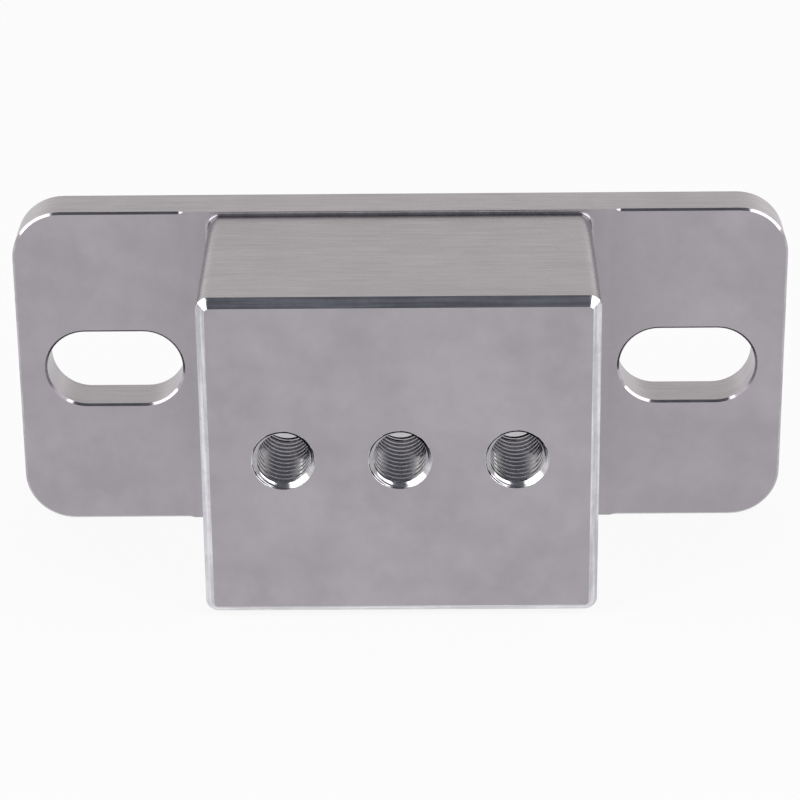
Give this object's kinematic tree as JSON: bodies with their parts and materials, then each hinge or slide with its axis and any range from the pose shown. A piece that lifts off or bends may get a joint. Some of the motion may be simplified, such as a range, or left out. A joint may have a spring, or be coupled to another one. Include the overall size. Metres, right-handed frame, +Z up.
{
  "type": "machined mounting block",
  "caption": "Billet-machined mounting block: a slotted back plate in one piece with a projecting block that has a row of tapped holes in its front face.",
  "frame": {"origin": "centre of the slot pattern, on the plate's flat back face", "axes": "+X along the plate, through both slots and the row of tapped holes; +Y out of the back face, into what the plate is bolted to; +Z up"},
  "size_m": [0.156, 0.0545, 0.068],
  "materials": {
    "machined_aluminium": "as milled, satin, with bright chamfers"
  },
  "bodies": {
    "root": {"mounting_block": "machined_aluminium"}
  },
  "joints": []
}
